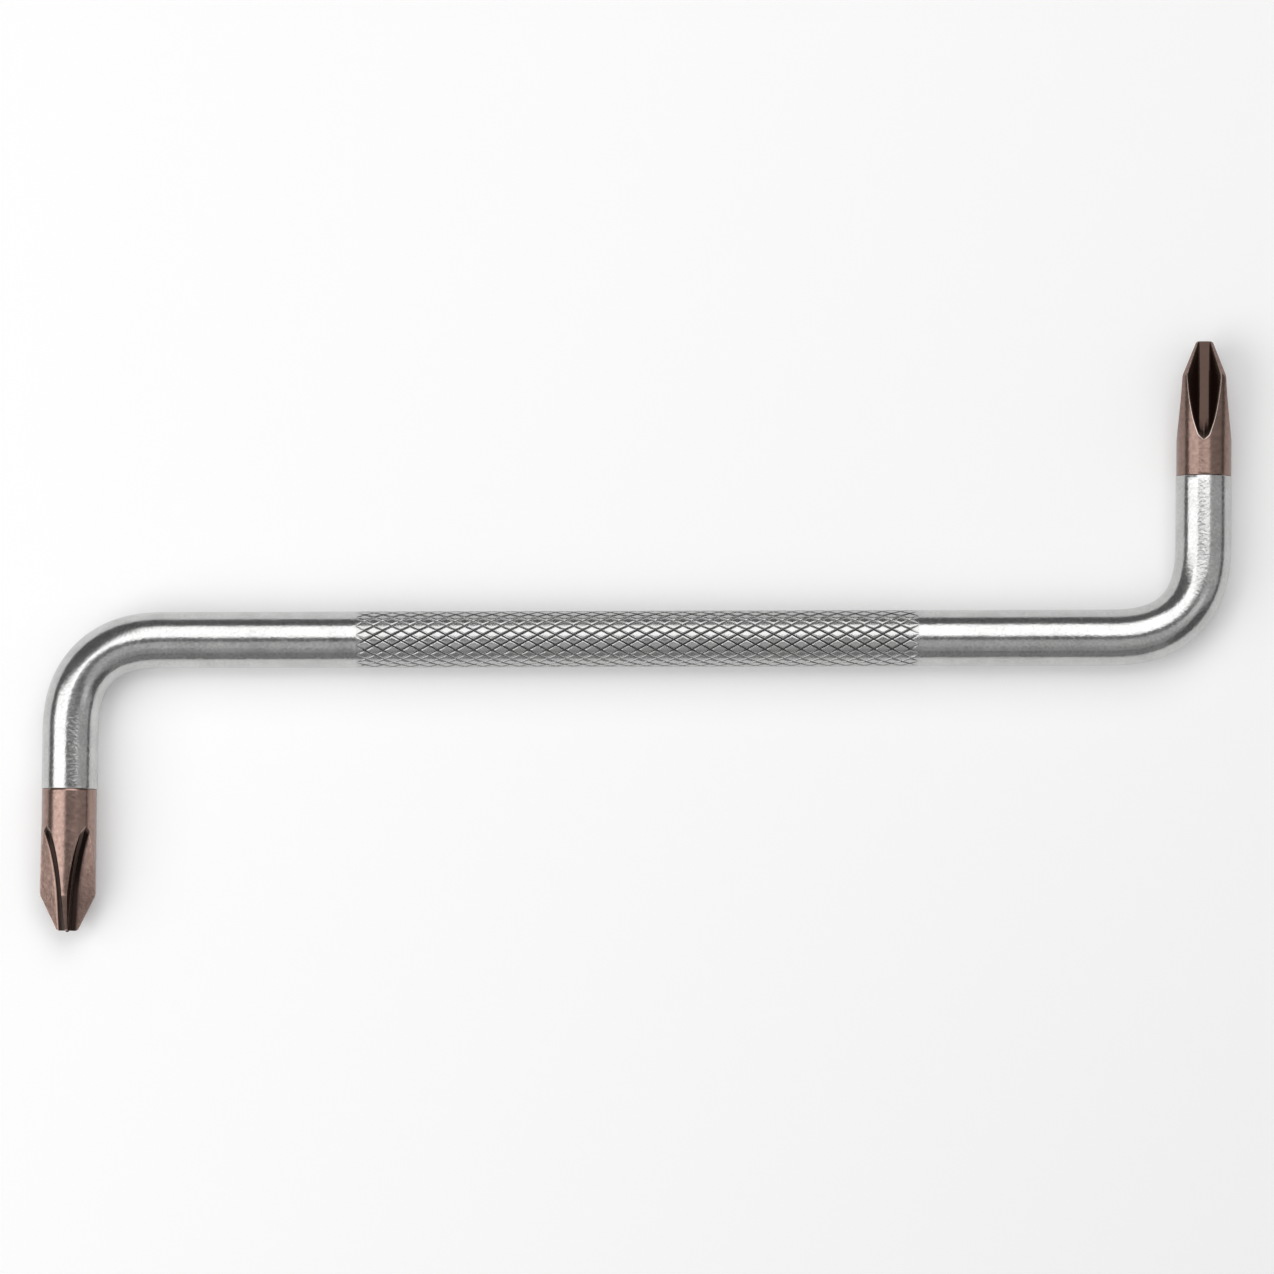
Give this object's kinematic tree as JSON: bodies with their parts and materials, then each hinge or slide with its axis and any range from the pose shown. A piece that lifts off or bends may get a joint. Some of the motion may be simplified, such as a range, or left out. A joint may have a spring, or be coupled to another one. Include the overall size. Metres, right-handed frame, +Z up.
{
  "type": "offset screwdriver",
  "caption": "Z-shaped offset screwdriver bent from round bar, with a knurled middle grip and a browned cross-recess tip on each arm, the two tips turned differently.",
  "frame": {"origin": "under the middle of the tool's bounding box, on the surface that it lies on", "axes": "+X along the bar, towards the upper arm; +Y the way the upper tip points; +Z up, away from the surface"},
  "size_m": [0.1274, 0.0629, 0.006],
  "materials": {
    "satin_chrome": "satin",
    "knurled_chrome": "knurled satin",
    "browned_steel": "browned"
  },
  "bodies": {
    "root": {"knurled_grip": "knurled_chrome", "lower_elbow": "satin_chrome", "lower_shank": "satin_chrome", "lower_tip": "browned_steel", "upper_elbow": "satin_chrome", "upper_shank": "satin_chrome", "upper_tip": "browned_steel"}
  },
  "joints": []
}
